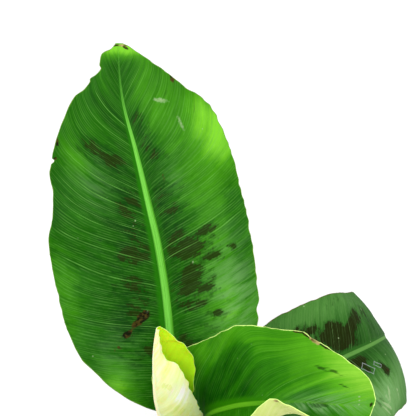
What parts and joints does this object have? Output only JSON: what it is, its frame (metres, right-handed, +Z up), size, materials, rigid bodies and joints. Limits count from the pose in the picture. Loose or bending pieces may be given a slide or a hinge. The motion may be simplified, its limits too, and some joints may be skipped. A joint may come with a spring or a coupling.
{
  "type": "potted banana plant",
  "caption": "Young banana plant with broad leaves on a stem of nested sheaths, standing in soil in a plain round tapered pot.",
  "frame": {"origin": "centre of the pot's underside", "axes": "+Z up, the way the plant stands; +Y away from the front of the pot, with the tallest leaf at the back left"},
  "size_m": [0.3823, 0.4684, 0.5195],
  "materials": {
    "pot_plastic": "satin moulded plastic, plain brown",
    "soil": "loose damp peat with crumbs and fine fibres",
    "dry_husk": "dry papery leaf sheath, torn along its top",
    "leaf_tall": "waxy leaf, satin, parallel side veins, dark blotches, pale lime midrib",
    "leaf_arching": "waxy leaf, satin, dark green with brown-black blotches and a grey sheen",
    "leaf_cupped": "young waxy leaf, bright green, cream margin, pale yellow-green underside",
    "leaf_rolled": "newest leaf, still rolled, cream underside and lime upper side",
    "leaf_lower": "waxy leaf, satin, parallel side veins, dark blotches"
  },
  "bodies": {
    "root": {"pot": "pot_plastic", "soil": "soil", "sheath_dry": "dry_husk", "leaf_tall": "leaf_tall", "leaf_arching": "leaf_arching", "leaf_cupped": "leaf_cupped", "leaf_rolled": "leaf_rolled", "leaf_front": "leaf_lower", "leaf_low": "leaf_lower"}
  },
  "joints": []
}
